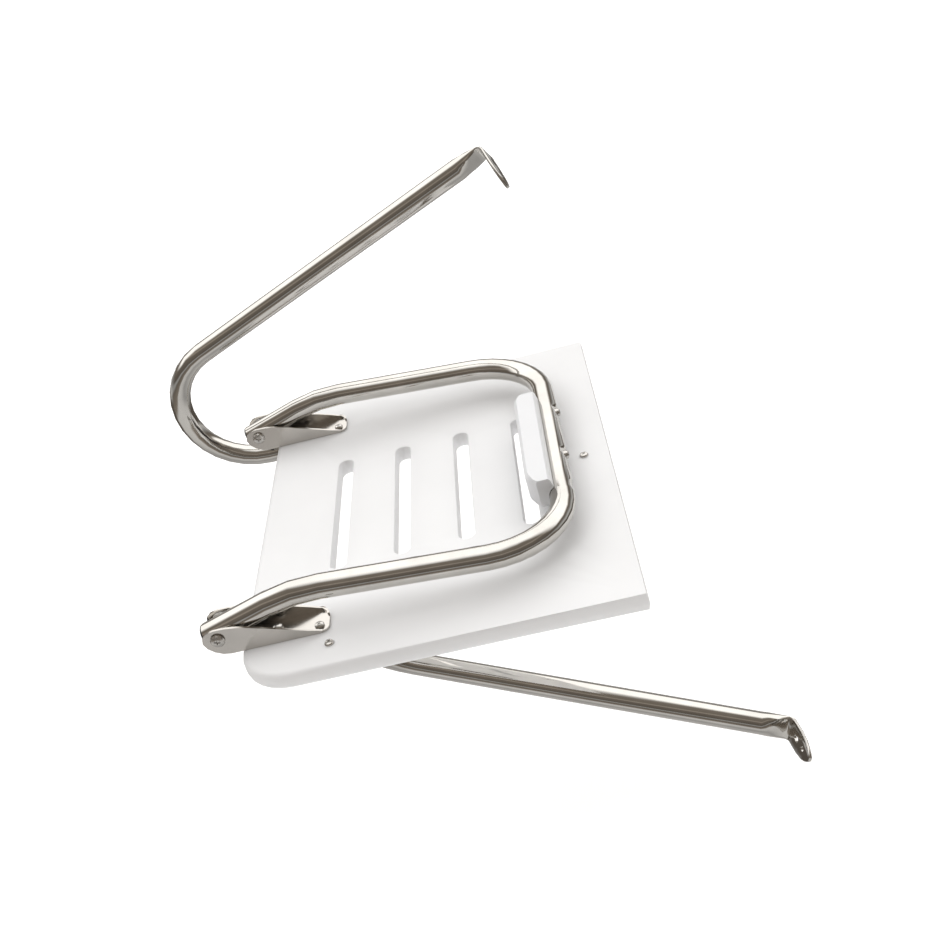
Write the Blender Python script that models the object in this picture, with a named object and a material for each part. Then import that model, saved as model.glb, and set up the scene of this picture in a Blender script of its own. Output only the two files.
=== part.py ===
"""Transom swim platform: moulded board, folding one-step ladder on two hinge
brackets, and a pair of bent tube struts carried in clamps under the board.

Axes: +X runs from the aft edge to the transom edge, +Y across the board,
+Z up out of the board. The board's upper face is z = 0. Lengths below are in
millimetres and are scaled to metres when a mesh is made.
"""
import math

import bmesh
import bpy
from mathutils import Matrix, Vector

MM = 0.001

# ---- board -------------------------------------------------------------
BOARD_X = 393.0          # aft edge to transom edge
BOARD_Y = 520.0          # across
BOARD_T = 19.05          # sheet thickness
AFT_CORNER_R = 52.0
FORE_CORNER_R = 1.5
EDGE_ROUND = 6.5         # roundover of the three outer upper edges
LOWER_EDGE = 0.8
SLOT_COUNT = 4
SLOT_PITCH = 68.9
SLOT_FIRST_X = -104.3
SLOT_W = 17.0
SLOT_Y0, SLOT_Y1 = -107.5, 105.0
SLOT_ROUND = 2.6

# ---- tube --------------------------------------------------------------
TUBE_R = 12.7
TUBE_WALL = 1.65
SIDES = 24
BORE_SIDES = 12

# ---- ladder ------------------------------------------------------------
LADDER_HALF = 192.1      # centreline half width
PIVOT_X, PIVOT_Z = -213.2, 19.55
TAIL = 13.5              # tube beyond the pivot
CROOK_X, CROOK_Z = -132.6, 44.5
CROSS_X, CROSS_Z = 138.6, 24.7
CROOK_R = 150.0
CORNER_R = 82.0
STEP_BOLT_Y = (55.0, -35.5)
DIMPLE_DEPTH = 5.5
DENTS = ((55.0, DIMPLE_DEPTH), (-35.5, DIMPLE_DEPTH), (-98.0, 3.0))

# ---- step --------------------------------------------------------------
STEP_FACE_X = 105.5      # stepping face
STEP_BACK_X = 130.0
STEP_Y0, STEP_Y1 = -108.0, 74.0
STEP_Z0, STEP_Z1 = 14.0, 48.5

# ---- hinge bracket -----------------------------------------------------
SHEET = 2.5
EAR_OUT = 17.5           # ear outer face from the ladder tube's centreline
BASE_LIFT = 0.3

# ---- strut -------------------------------------------------------------
STRUT_R = 83.4
STRUT_BEND = math.radians(158.23)
STRUT_ARM = 421.8
STRUT_TOP = 150.0
STRUT_Z = -36.3
FAR_START = (-223.8, 234.0)
FAR_ROLL = math.radians(93.1)
NEAR_START = (-69.7, -150.8)
NEAR_YAW = math.radians(-22.25)
NEAR_ROLL = math.radians(-62.3)
FAR_CLAMP_T = 117.5
NEAR_CLAMP_T = 60.0

GAP = 0.3

for thing in list(bpy.data.objects):
    bpy.data.objects.remove(thing, do_unlink=True)
scene = bpy.context.scene
scene.unit_settings.system = "METRIC"


# ---- materials -----------------------------------------------------------
def material(name, colour, metal, rough):
    mat = bpy.data.materials.new(name)
    mat.use_nodes = True
    shader = mat.node_tree.nodes["Principled BSDF"]
    shader.inputs["Base Color"].default_value = (*colour, 1.0)
    shader.inputs["Metallic"].default_value = metal
    shader.inputs["Roughness"].default_value = rough
    return mat


WHITE = ("white", (0.86, 0.87, 0.87), 0.0, 0.42)
STEEL = ("steel", (0.62, 0.61, 0.59), 1.0, 0.16)
NYLON = ("nylon", (0.80, 0.80, 0.78), 0.0, 0.5)
BLACK = ("black", (0.03, 0.03, 0.03), 0.0, 0.5)


# ---- helpers -------------------------------------------------------------
def finish(name, bm, kind, origin=(0.0, 0.0, 0.0), smooth=35.0):
    """Scale a millimetre bmesh about its origin and link it as one object."""
    org = Vector(origin)
    bmesh.ops.recalc_face_normals(bm, faces=bm.faces[:])
    for vert in bm.verts:
        vert.co = (vert.co - org) * MM
    mesh = bpy.data.meshes.new(name)
    bm.to_mesh(mesh)
    bm.free()
    obj = bpy.data.objects.new(name, mesh)
    obj.location = org * MM
    scene.collection.objects.link(obj)
    mesh.materials.append(material(name + "_mat", *kind[1:]))
    if smooth:
        for poly in mesh.polygons:
            poly.use_smooth = True
        mesh.set_sharp_from_angle(angle=math.radians(smooth))
    return obj


def cut(obj, cutters, op="DIFFERENCE"):
    """Boolean the cutters into the object and bake the result."""
    for cutter in cutters:
        cutter.hide_render = True
        cutter.display_type = "WIRE"
        mod = obj.modifiers.new("cut", "BOOLEAN")
        mod.operation = op
        mod.solver = "EXACT"
        mod.object = cutter
    deps = bpy.context.evaluated_depsgraph_get()
    baked = bpy.data.meshes.new_from_object(obj.evaluated_get(deps))
    obj.modifiers.clear()
    old = obj.data
    obj.data = baked
    bpy.data.meshes.remove(old)
    for cutter in cutters:
        bpy.data.objects.remove(cutter, do_unlink=True)
    for poly in obj.data.polygons:
        poly.use_smooth = True
    obj.data.set_sharp_from_angle(angle=math.radians(35.0))
    return obj


def stack(bm, rings, close=True):
    """Skin a list of equal vertex rings and cap both ends."""
    made = [[bm.verts.new(p) for p in ring] for ring in rings]
    n = len(made[0])
    for lower, upper in zip(made, made[1:]):
        for i in range(n):
            j = (i + 1) % n
            bm.faces.new((lower[i], lower[j], upper[j], upper[i]))
    if close:
        bm.faces.new(made[0][::-1])
        bm.faces.new(made[-1])
    return made


def disc(centre, axis, radius, sides, phase=0.0):
    """A ring of points about a centre in the plane normal to the axis."""
    axis = Vector(axis).normalized()
    side = axis.orthogonal().normalized()
    other = axis.cross(side)
    centre = Vector(centre)
    ring = []
    for i in range(sides):
        a = phase + 2 * math.pi * i / sides
        ring.append(centre + side * (radius * math.cos(a)) + other * (radius * math.sin(a)))
    return ring


def lathe(bm, base, axis, profile, sides, phase=0.0):
    """Rings of (distance along axis, radius) about one line."""
    base = Vector(base)
    axis = Vector(axis).normalized()
    stack(bm, [disc(base + axis * d, axis, r, sides, phase) for d, r in profile])


def cutter_from(bm):
    mesh = bpy.data.meshes.new("cutter")
    bmesh.ops.recalc_face_normals(bm, faces=bm.faces[:])
    for vert in bm.verts:
        vert.co = vert.co * MM
    bm.to_mesh(mesh)
    bm.free()
    obj = bpy.data.objects.new("cutter", mesh)
    scene.collection.objects.link(obj)
    return obj


def rod_cutter(start, end, radius, sides=16):
    bm = bmesh.new()
    start, end = Vector(start), Vector(end)
    axis = (end - start).normalized()
    stack(bm, [disc(start, axis, radius, sides), disc(end, axis, radius, sides)])
    return cutter_from(bm)


def cross_cutter(centre, axis, size, depth, turn=0.0):
    """Two crossed bars that sink a driver recess into a screw head."""
    axis = Vector(axis).normalized()
    side = Matrix.Rotation(turn, 3, axis) @ axis.orthogonal().normalized()
    other = axis.cross(side)
    centre = Vector(centre)
    made = []
    for u, v in ((side, other), (other, side)):
        bm = bmesh.new()
        ring = []
        for a, b in ((-1, -1), (1, -1), (1, 1), (-1, 1)):
            ring.append((a, b))
        top = [centre + axis * 2.0 + u * (a * size) + v * (b * size * 0.2) for a, b in ring]
        low = [centre - axis * depth + u * (a * size * 0.55) + v * (b * size * 0.14) for a, b in ring]
        stack(bm, [low, top])
        made.append(cutter_from(bm))
    return made


def board_outline(inset):
    """Board outline with big aft corners; only three sides move in by the inset."""
    x0, x1 = -BOARD_X / 2, BOARD_X / 2
    y1 = BOARD_Y / 2
    r = AFT_CORNER_R - inset
    f = FORE_CORNER_R
    aft, fore = [], []
    for i in range(10):
        a = 0.5 * math.pi * i / 9
        aft.append((x0 + AFT_CORNER_R - r * math.cos(a), y1 - AFT_CORNER_R + r * math.sin(a)))
    for i in range(4):
        a = 0.5 * math.pi * i / 3
        fore.append((x1 - f + f * math.sin(a), y1 - inset - f + f * math.cos(a)))
    half = aft + fore
    return half + [(x, -y) for x, y in reversed(half)]


def sweep(bm, path, frames, outer, bore, open_start=True, open_end=True):
    """Tube skin along a path. outer(i, angle) and bore(i, angle) give offsets.

    An open end joins the two skins with a flat rim; a shut end caps both.
    """
    def rings(fn, sides, indices):
        out = []
        for i in indices:
            u, v = frames[i]
            ring = []
            for k in range(sides):
                a = 2 * math.pi * k / sides
                p, q = fn(i, a)
                ring.append(path[i] + u * p + v * q)
            out.append(ring)
        return out

    last = len(path) - 1
    skin = stack(bm, rings(outer, SIDES, range(last + 1)), close=False)
    if bore is None:
        bm.faces.new(skin[0][::-1])
        bm.faces.new(skin[-1])
        return
    span = bore("span")
    inner = stack(bm, rings(bore, BORE_SIDES, range(span[0], span[1] + 1)), close=False)
    ratio = SIDES // BORE_SIDES
    for end, opened in ((0, open_start), (-1, open_end)):
        if opened:
            for k in range(BORE_SIDES):
                m = (k + 1) % BORE_SIDES
                fan = [skin[end][(k * ratio + j) % SIDES] for j in range(ratio + 1)]
                for j in range(ratio // 2):
                    bm.faces.new((inner[end][k], fan[j], fan[j + 1]))
                bm.faces.new((inner[end][k], fan[ratio // 2], inner[end][m]))
                for j in range(ratio // 2, ratio):
                    bm.faces.new((inner[end][m], fan[j], fan[j + 1]))
        else:
            bm.faces.new(skin[end] if end else skin[end][::-1])
            bm.faces.new(inner[end][::-1] if end else inner[end])


def fillet_path(points, radii, step_deg):
    """Polyline with its inner corners replaced by arcs."""
    out = [Vector(points[0])]
    for i in range(1, len(points) - 1):
        a, b, c = (Vector(points[i + k]) for k in (-1, 0, 1))
        d0 = (b - a).normalized()
        d1 = (c - b).normalized()
        turn = d0.angle(d1)
        r = radii[i - 1]
        tangent = r * math.tan(turn / 2)
        start = b - d0 * tangent
        normal = (d1 - d0 * d0.dot(d1)).normalized()
        centre = start + normal * r
        steps = max(2, round(math.degrees(turn) / step_deg))
        for k in range(steps + 1):
            ang = turn * k / steps
            out.append(centre - normal * (r * math.cos(ang)) + d0 * (r * math.sin(ang)))
    out.append(Vector(points[-1]))
    return out


def tangents(path):
    out = []
    for i in range(len(path)):
        lo, hi = max(i - 1, 0), min(i + 1, len(path) - 1)
        d0 = (path[i] - path[lo]).normalized() if i > lo else None
        d1 = (path[hi] - path[i]).normalized() if hi > i else None
        if d0 is None:
            d0 = d1
        if d1 is None:
            d1 = d0
        out.append((d0 + d1).normalized())
    return out


def carried_frames(path, first_u):
    """Twist-free frames: (u, v) across the path at each point."""
    dirs = tangents(path)
    u = (first_u - dirs[0] * first_u.dot(dirs[0])).normalized()
    frames = []
    for i, d in enumerate(dirs):
        if i:
            turn = dirs[i - 1].rotation_difference(d)
            u = turn @ u
            u = (u - d * u.dot(d)).normalized()
        frames.append((u.copy(), d.cross(u).normalized()))
    return frames, dirs


# ---- board -----------------------------------------------------------------
def make_board():
    bm = bmesh.new()
    r = EDGE_ROUND
    # crisp lower edge, then a quarter round up to the walking surface
    levels = [(-BOARD_T, LOWER_EDGE), (-BOARD_T + LOWER_EDGE, 0.0)]
    for i in range(6):
        a = 0.5 * math.pi * (1 - i / 5)
        levels.append((-r * (1 - math.cos(a)), r * (1 - math.sin(a))))
    stack(bm, [[Vector((x, y, z)) for x, y in board_outline(inset)] for z, inset in levels])
    board = finish("platform_board", bm, WHITE)

    cutters = []
    for k in range(SLOT_COUNT):
        cx = SLOT_FIRST_X + SLOT_PITCH * k
        half = SLOT_W / 2
        s = SLOT_ROUND
        rows = []
        for z, grow in (
            (-BOARD_T - 3.0, s), (-BOARD_T, s), (-BOARD_T + 0.3 * s, 0.29 * s), (-BOARD_T + s, 0.0),
            (-s, 0.0), (-0.3 * s, 0.29 * s), (0.0, s), (3.0, s),
        ):
            ring = []
            r2 = half + grow
            for yc, a0 in ((SLOT_Y1 - half, 0.0), (SLOT_Y0 + half, math.pi)):
                for i in range(9):
                    a = a0 + math.pi * i / 8
                    ring.append(Vector((cx + r2 * math.cos(a), yc + r2 * math.sin(a), z)))
            rows.append(ring)
        bm = bmesh.new()
        stack(bm, rows)
        cutters.append(cutter_from(bm))
    for x, y in THROUGH_HOLES:
        cutters.append(rod_cutter((x, y, -BOARD_T - 3), (x, y, 3), 3.5, 14))
    for x, y in SOCKETS:
        cutters.append(rod_cutter((x, y, -BOARD_T - 3), (x, y, -11.5), 8.5, 18))
    return cut(board, cutters)


# ---- ladder -------------------------------------------------------------------
def ladder_centre():
    slope = (CROOK_Z - PIVOT_Z) / (CROOK_X - PIVOT_X)
    length = math.hypot(1.0, slope)
    start = (PIVOT_X - TAIL / length, PIVOT_Z - TAIL * slope / length)
    w = LADDER_HALF
    points = [
        (start[0], -w, start[1]), (CROOK_X, -w, CROOK_Z), (CROSS_X, -w, CROSS_Z),
        (CROSS_X, w, CROSS_Z), (CROOK_X, w, CROOK_Z), (start[0], w, start[1]),
    ]
    path = fillet_path(points, (CROOK_R, CORNER_R, CORNER_R, CROOK_R), 10.0)
    # extra rings where the cross tube is dented for its bolts
    full = []
    for p, q in zip(path, path[1:]):
        full.append(p)
        if abs(p.x - q.x) < 1e-3 and abs(q.y - p.y) > 60:
            stops = []
            for yb, _ in DENTS:
                for k in (-11.5, -8, -4, 0, 4, 8, 11.5):
                    stops.append(yb + k)
            for y in sorted(stops):
                full.append(Vector((p.x, y, p.z)))
    full.append(path[-1])
    return full


def make_ladder():
    path = ladder_centre()
    frames, dirs = carried_frames(path, Vector((0, 0, 1)))

    def dent(i):
        p = path[i]
        if abs(p.x - CROSS_X) > 0.5:
            return 0.0
        return max(
            depth * max(0.0, 1 - (abs(p.y - yb) / 11.0) ** 2) for yb, depth in DENTS
        )

    def shape(i, a, radius):
        u, v = frames[i]
        p, q = radius * math.cos(a), radius * math.sin(a)
        d = dent(i)
        if d > 0:
            off = u * p + v * q
            limit = TUBE_R - d - (TUBE_R - radius)
            if off.x > limit:
                off.x = limit + (off.x - limit) * 0.12
            p, q = off.dot(u), off.dot(v)
        return p, q

    def outer(i, a):
        return shape(i, a, TUBE_R)

    def bore(i, a=None):
        if i == "span":
            return 0, len(path) - 1
        return shape(i, a, (TUBE_R - TUBE_WALL))

    bm = bmesh.new()
    sweep(bm, path, frames, outer, bore)
    ladder = finish("ladder_tube", bm, STEEL, origin=(PIVOT_X, 0.0, PIVOT_Z), smooth=40)
    cutters = []
    for s in (-1, 1):
        y = s * LADDER_HALF
        cutters.append(rod_cutter((PIVOT_X, y - 20, PIVOT_Z), (PIVOT_X, y + 20, PIVOT_Z), 5.4, 16))
    for yb in STEP_BOLT_Y:
        cutters.append(rod_cutter((CROSS_X - 20, yb, CROSS_Z), (CROSS_X + 20, yb, CROSS_Z), 3.1, 12))
    return cut(ladder, cutters)


def make_step():
    """White moulded tread: a hollow-backed bar whose back is scooped for the tube."""
    bm = bmesh.new()
    x0, x1 = STEP_FACE_X, STEP_BACK_X + 8.0
    zc = CROSS_Z
    gap_r = TUBE_R + 0.5
    # outline of the section in X-Z, up the stepping face, over the crowned top
    # and down the scooped back
    section = [
        (x0 + 7.5, STEP_Z0), (x0 + 2.0, STEP_Z0 + 4.0), (x0, STEP_Z0 + 9.5), (x0, STEP_Z1 - 9.0),
        (x0 + 2.4, STEP_Z1 - 3.6), (x0 + 7.0, STEP_Z1 - 0.6),
        (x0 + 12.0, STEP_Z1), (x0 + 18.0, STEP_Z1 - 1.0), (STEP_BACK_X - 2.0, STEP_Z1 - 4.0), (STEP_BACK_X, STEP_Z1 - 8.0),
    ]
    scoop = range(len(section), len(section) + 7)
    a0 = math.radians(118)
    for i in range(7):
        a = a0 + (math.radians(212) - a0) * i / 6
        section.append((CROSS_X + gap_r * math.cos(a), zc + gap_r * math.sin(a)))
    section.append((x0 + 18.5, STEP_Z0))
    rings = []
    ends = (
        (STEP_Y0, 0.35, 0.60), (STEP_Y0 + 6.5, 0.64, 0.83), (STEP_Y0 + 13.0, 0.90, 0.96), (STEP_Y0 + 18.0, 1.0, 1.0),
        (STEP_Y1 - 12.0, 1.0, 1.0), (STEP_Y1 - 5.5, 0.93, 0.96), (STEP_Y1 - 1.5, 0.80, 0.86), (STEP_Y1, 0.6, 0.72),
    )
    for y, k, kz in ends:
        ring = []
        for i, (x, z) in enumerate(section):
            if i not in scoop:
                if x < STEP_BACK_X - 6.0:
                    x = STEP_BACK_X - 6.0 - (STEP_BACK_X - 6.0 - x) * k
                z = zc + 6.0 + (z - zc - 6.0) * kz
            ring.append(Vector((x, y, z)))
        rings.append(ring)
    stack(bm, rings)
    step = finish("ladder_step", bm, WHITE, origin=(CROSS_X, 0.0, CROSS_Z), smooth=30)
    cutters = []
    for yb in STEP_BOLT_Y:
        cutters.append(rod_cutter((x0 - 5, yb, zc), (CROSS_X, yb, zc), 3.1, 12))
        cutters.append(rod_cutter((x0 - 5, yb, zc), (x0 + 6.0, yb, zc), 8.0, 20))
    return cut(step, cutters)


def screw(name, base, axis, head_r, head_h, shank_r, shank_len, recess=True, turn=0.3, origin=None, sides=14):
    """Pan-head screw: head above base along axis, shank below it."""
    base, axis = Vector(base), Vector(axis).normalized()
    bm = bmesh.new()
    profile = [(-shank_len, shank_r * 0.8), (-shank_len + 1.0, shank_r), (0.0, shank_r), (0.0, head_r),
               (head_h * 0.4, head_r), (head_h * 0.78, head_r * 0.84), (head_h, head_r * 0.45)]
    rows = [disc(base + axis * d, axis, r, sides) for d, r in profile]
    stack(bm, rows)
    obj = finish(name, bm, STEEL, origin=tuple(origin or base), smooth=45)
    if recess:
        cut(obj, cross_cutter(base + axis * head_h, axis, head_r * 0.55, head_h * 0.55, turn))
    return obj


def hex_nut(bm, base, axis, across, height, bore_r):
    """Hexagon nut with a plain bore, drawn as one closed ring solid."""
    axis = Vector(axis).normalized()
    base = Vector(base)
    side = axis.orthogonal().normalized()
    other = axis.cross(side)
    big = across / 2 / math.cos(math.pi / 6)

    def ring(dist, radius, six):
        pts = []
        for i in range(12):
            a = 2 * math.pi * i / 12
            r = radius
            if six and i % 2:
                r = radius * math.cos(math.pi / 6)
            pts.append(base + axis * dist + side * (r * math.cos(a)) + other * (r * math.sin(a)))
        return pts

    rows = [ring(0, bore_r, False), ring(0, big * 0.93, True), ring(height * 0.12, big, True),
            ring(height * 0.86, big, True), ring(height, big * 0.9, True), ring(height, bore_r, False)]
    made = [[bm.verts.new(p) for p in row] for row in rows]
    for lower, upper in zip(made, made[1:] + made[:1]):
        for i in range(12):
            j = (i + 1) % 12
            bm.faces.new((lower[i], lower[j], upper[j], upper[i]))


def flange_nut(bm, base, axis):
    """Hexagon nut on a round flange, drawn as one closed ring solid."""
    axis = Vector(axis).normalized()
    base = Vector(base)
    side = axis.orthogonal().normalized()
    other = axis.cross(side)
    rows = ((0.0, 3.35, 0), (0.0, 7.6, 0), (1.4, 7.6, 0), (1.9, 5.77, 1), (6.3, 5.77, 1), (7.0, 5.1, 1), (7.0, 3.35, 0))
    made = []
    for dist, radius, six in rows:
        ring = []
        for i in range(12):
            a = 2 * math.pi * i / 12
            r = radius * math.cos(math.pi / 6) if six and i % 2 else radius
            ring.append(bm.verts.new(base + axis * dist + side * (r * math.cos(a)) + other * (r * math.sin(a))))
        made.append(ring)
    for lower, upper in zip(made, made[1:] + made[:1]):
        for i in range(12):
            j = (i + 1) % 12
            bm.faces.new((lower[i], lower[j], upper[j], upper[i]))


def ring_lathe(bm, base, axis, section, sides=18):
    """Closed turned ring from a loop of (distance along axis, radius)."""
    base = Vector(base)
    axis = Vector(axis).normalized()
    made = [[bm.verts.new(p) for p in disc(base + axis * d, axis, r, sides)] for d, r in section]
    for lower, upper in zip(made, made[1:] + made[:1]):
        for i in range(sides):
            j = (i + 1) % sides
            bm.faces.new((lower[i], lower[j], upper[j], upper[i]))


# ---- hinge bracket -----------------------------------------------------
SHEET = 2.5
EAR_OUT = 17.5           # ear outer face from the ladder tube's centreline
BASE_LIFT = 0.3

# ---- strut -------------------------------------------------------------
STRUT_R = 83.4
STRUT_BEND = math.radians(158.23)
STRUT_ARM = 421.8
STRUT_TOP = 150.0
STRUT_Z = -36.3
FAR_START = (-223.8, 234.0)
FAR_ROLL = math.radians(93.1)
NEAR_START = (-69.7, -150.8)
NEAR_YAW = math.radians(-22.25)
NEAR_ROLL = math.radians(-62.3)
FAR_CLAMP_T = 117.5
NEAR_CLAMP_T = 60.0

GAP = 0.3

for thing in list(bpy.data.objects):
    bpy.data.objects.remove(thing, do_unlink=True)
scene = bpy.context.scene
scene.unit_settings.system = "METRIC"


# ---- materials -----------------------------------------------------------
def material(name, colour, metal, rough):
    mat = bpy.data.materials.new(name)
    mat.use_nodes = True
    shader = mat.node_tree.nodes["Principled BSDF"]
    shader.inputs["Base Color"].default_value = (*colour, 1.0)
    shader.inputs["Metallic"].default_value = metal
    shader.inputs["Roughness"].default_value = rough
    return mat


WHITE = ("white", (0.86, 0.87, 0.87), 0.0, 0.42)
STEEL = ("steel", (0.62, 0.61, 0.59), 1.0, 0.16)
NYLON = ("nylon", (0.80, 0.80, 0.78), 0.0, 0.5)
BLACK = ("black", (0.03, 0.03, 0.03), 0.0, 0.5)


# ---- helpers -------------------------------------------------------------
def finish(name, bm, kind, origin=(0.0, 0.0, 0.0), smooth=35.0):
    """Scale a millimetre bmesh about its origin and link it as one object."""
    org = Vector(origin)
    bmesh.ops.recalc_face_normals(bm, faces=bm.faces[:])
    for vert in bm.verts:
        vert.co = (vert.co - org) * MM
    mesh = bpy.data.meshes.new(name)
    bm.to_mesh(mesh)
    bm.free()
    obj = bpy.data.objects.new(name, mesh)
    obj.location = org * MM
    scene.collection.objects.link(obj)
    mesh.materials.append(material(name + "_mat", *kind[1:]))
    if smooth:
        for poly in mesh.polygons:
            poly.use_smooth = True
        mesh.set_sharp_from_angle(angle=math.radians(smooth))
    return obj


def cut(obj, cutters, op="DIFFERENCE"):
    """Boolean the cutters into the object and bake the result."""
    for cutter in cutters:
        cutter.hide_render = True
        cutter.display_type = "WIRE"
        mod = obj.modifiers.new("cut", "BOOLEAN")
        mod.operation = op
        mod.solver = "EXACT"
        mod.object = cutter
    deps = bpy.context.evaluated_depsgraph_get()
    baked = bpy.data.meshes.new_from_object(obj.evaluated_get(deps))
    obj.modifiers.clear()
    old = obj.data
    obj.data = baked
    bpy.data.meshes.remove(old)
    for cutter in cutters:
        bpy.data.objects.remove(cutter, do_unlink=True)
    for poly in obj.data.polygons:
        poly.use_smooth = True
    obj.data.set_sharp_from_angle(angle=math.radians(35.0))
    return obj


def stack(bm, rings, close=True):
    """Skin a list of equal vertex rings and cap both ends."""
    made = [[bm.verts.new(p) for p in ring] for ring in rings]
    n = len(made[0])
    for lower, upper in zip(made, made[1:]):
        for i in range(n):
            j = (i + 1) % n
            bm.faces.new((lower[i], lower[j], upper[j], upper[i]))
    if close:
        bm.faces.new(made[0][::-1])
        bm.faces.new(made[-1])
    return made


def disc(centre, axis, radius, sides, phase=0.0):
    """A ring of points about a centre in the plane normal to the axis."""
    axis = Vector(axis).normalized()
    side = axis.orthogonal().normalized()
    other = axis.cross(side)
    centre = Vector(centre)
    ring = []
    for i in range(sides):
        a = phase + 2 * math.pi * i / sides
        ring.append(centre + side * (radius * math.cos(a)) + other * (radius * math.sin(a)))
    return ring


def lathe(bm, base, axis, profile, sides, phase=0.0):
    """Rings of (distance along axis, radius) about one line."""
    base = Vector(base)
    axis = Vector(axis).normalized()
    stack(bm, [disc(base + axis * d, axis, r, sides, phase) for d, r in profile])


def cutter_from(bm):
    mesh = bpy.data.meshes.new("cutter")
    bmesh.ops.recalc_face_normals(bm, faces=bm.faces[:])
    for vert in bm.verts:
        vert.co = vert.co * MM
    bm.to_mesh(mesh)
    bm.free()
    obj = bpy.data.objects.new("cutter", mesh)
    scene.collection.objects.link(obj)
    return obj


def rod_cutter(start, end, radius, sides=16):
    bm = bmesh.new()
    start, end = Vector(start), Vector(end)
    axis = (end - start).normalized()
    stack(bm, [disc(start, axis, radius, sides), disc(end, axis, radius, sides)])
    return cutter_from(bm)


def cross_cutter(centre, axis, size, depth, turn=0.0):
    """Two crossed bars that sink a driver recess into a screw head."""
    axis = Vector(axis).normalized()
    side = Matrix.Rotation(turn, 3, axis) @ axis.orthogonal().normalized()
    other = axis.cross(side)
    centre = Vector(centre)
    made = []
    for u, v in ((side, other), (other, side)):
        bm = bmesh.new()
        ring = []
        for a, b in ((-1, -1), (1, -1), (1, 1), (-1, 1)):
            ring.append((a, b))
        top = [centre + axis * 2.0 + u * (a * size) + v * (b * size * 0.2) for a, b in ring]
        low = [centre - axis * depth + u * (a * size * 0.55) + v * (b * size * 0.14) for a, b in ring]
        stack(bm, [low, top])
        made.append(cutter_from(bm))
    return made


def rounded_outline(x0, x1, y0, y1, radii, inset, arc=7):
    """Rectangle with four corner radii (x0y0, x1y0, x1y1, x0y1) moved inwards."""
    corners = (
        (x0, y0, 1, 1, math.pi),
        (x1, y0, -1, 1, 1.5 * math.pi),
        (x1, y1, -1, -1, 0.0),
        (x0, y1, 1, -1, 0.5 * math.pi),
    )
    points = []
    for (cx, cy, sx, sy, a0), radius in zip(corners, radii):
        ox, oy = cx + sx * radius, cy + sy * radius
        r = max(radius - inset, 0.05)
        steps = arc if radius > 20 else 3
        for i in range(steps + 1):
            a = a0 + 0.5 * math.pi * i / steps
            points.append((ox + r * math.cos(a), oy + r * math.sin(a)))
    return points


def sweep(bm, path, frames, outer, bore, open_start=True, open_end=True):
    """Tube skin along a path. outer(i, angle) and bore(i, angle) give offsets.

    An open end joins the two skins with a flat rim; a shut end caps both.
    """
    def rings(fn, sides, indices):
        out = []
        for i in indices:
            u, v = frames[i]
            ring = []
            for k in range(sides):
                a = 2 * math.pi * k / sides
                p, q = fn(i, a)
                ring.append(path[i] + u * p + v * q)
            out.append(ring)
        return out

    last = len(path) - 1
    skin = stack(bm, rings(outer, SIDES, range(last + 1)), close=False)
    if bore is None:
        bm.faces.new(skin[0][::-1])
        bm.faces.new(skin[-1])
        return
    span = bore("span")
    inner = stack(bm, rings(bore, BORE_SIDES, range(span[0], span[1] + 1)), close=False)
    ratio = SIDES // BORE_SIDES
    for end, opened in ((0, open_start), (-1, open_end)):
        if opened:
            for k in range(BORE_SIDES):
                m = (k + 1) % BORE_SIDES
                fan = [skin[end][(k * ratio + j) % SIDES] for j in range(ratio + 1)]
                for j in range(ratio // 2):
                    bm.faces.new((inner[end][k], fan[j], fan[j + 1]))
                bm.faces.new((inner[end][k], fan[ratio // 2], inner[end][m]))
                for j in range(ratio // 2, ratio):
                    bm.faces.new((inner[end][m], fan[j], fan[j + 1]))
        else:
            bm.faces.new(skin[end] if end else skin[end][::-1])
            bm.faces.new(inner[end][::-1] if end else inner[end])


def fillet_path(points, radii, step_deg):
    """Polyline with its inner corners replaced by arcs."""
    out = [Vector(points[0])]
    for i in range(1, len(points) - 1):
        a, b, c = (Vector(points[i + k]) for k in (-1, 0, 1))
        d0 = (b - a).normalized()
        d1 = (c - b).normalized()
        turn = d0.angle(d1)
        r = radii[i - 1]
        tangent = r * math.tan(turn / 2)
        start = b - d0 * tangent
        normal = (d1 - d0 * d0.dot(d1)).normalized()
        centre = start + normal * r
        steps = max(2, round(math.degrees(turn) / step_deg))
        for k in range(steps + 1):
            ang = turn * k / steps
            out.append(centre - normal * (r * math.cos(ang)) + d0 * (r * math.sin(ang)))
    out.append(Vector(points[-1]))
    return out


def tangents(path):
    out = []
    for i in range(len(path)):
        lo, hi = max(i - 1, 0), min(i + 1, len(path) - 1)
        d0 = (path[i] - path[lo]).normalized() if i > lo else None
        d1 = (path[hi] - path[i]).normalized() if hi > i else None
        if d0 is None:
            d0 = d1
        if d1 is None:
            d1 = d0
        out.append((d0 + d1).normalized())
    return out


def carried_frames(path, first_u):
    """Twist-free frames: (u, v) across the path at each point."""
    dirs = tangents(path)
    u = (first_u - dirs[0] * first_u.dot(dirs[0])).normalized()
    frames = []
    for i, d in enumerate(dirs):
        if i:
            turn = dirs[i - 1].rotation_difference(d)
            u = turn @ u
            u = (u - d * u.dot(d)).normalized()
        frames.append((u.copy(), d.cross(u).normalized()))
    return frames, dirs


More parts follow.
